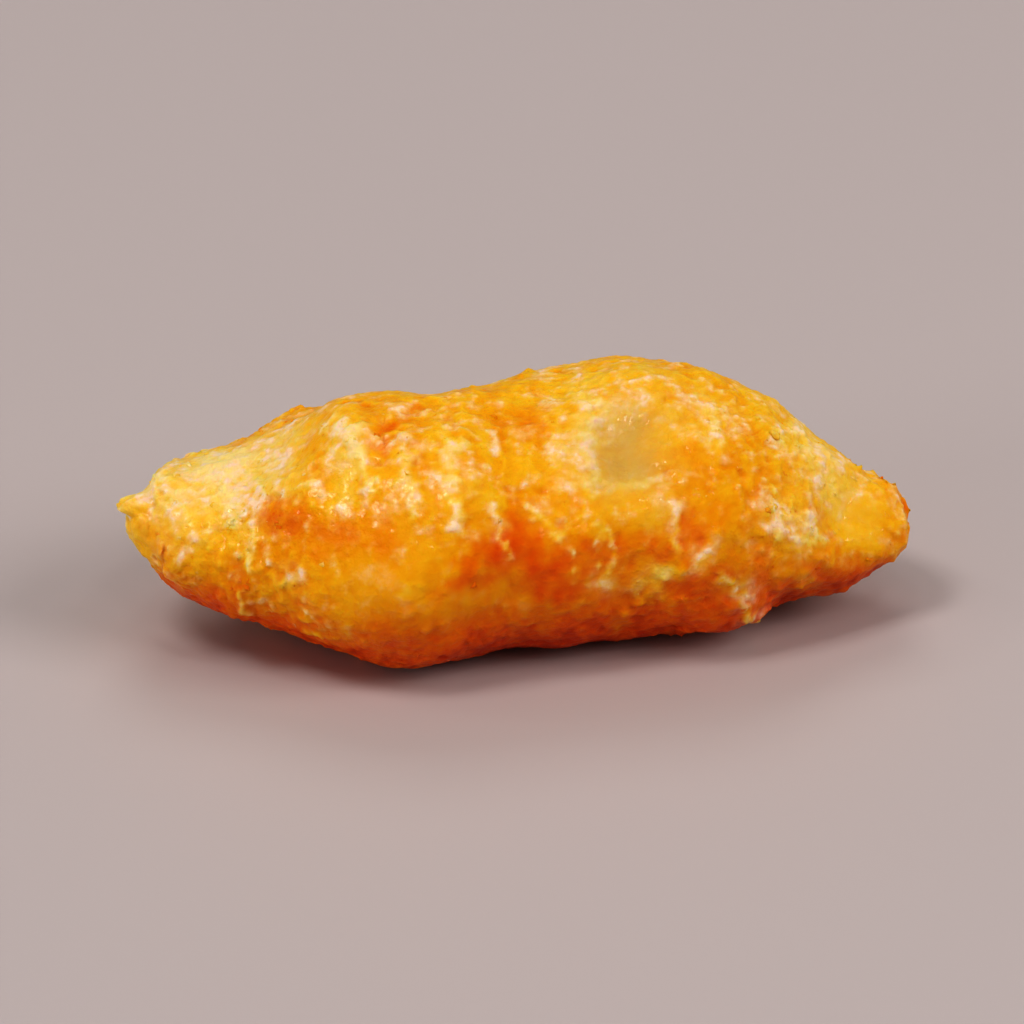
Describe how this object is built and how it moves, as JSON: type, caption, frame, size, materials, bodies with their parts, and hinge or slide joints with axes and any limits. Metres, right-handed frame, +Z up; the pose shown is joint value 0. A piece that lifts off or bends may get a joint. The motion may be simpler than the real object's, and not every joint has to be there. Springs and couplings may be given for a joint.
{
  "type": "fish nugget",
  "caption": "Battered, deep-fried fish nugget, a plump uneven spindle with blunt tips and a golden crust, lying on a small flat spot.",
  "frame": {"origin": "middle of the footprint, on the surface that the nugget lies on", "axes": "+X along the nugget to its right tip, -Y to the front, +Z up"},
  "size_m": [0.076, 0.0376, 0.0242],
  "materials": {
    "batter_crust": null
  },
  "bodies": {
    "root": {"nugget": "batter_crust"}
  },
  "joints": []
}
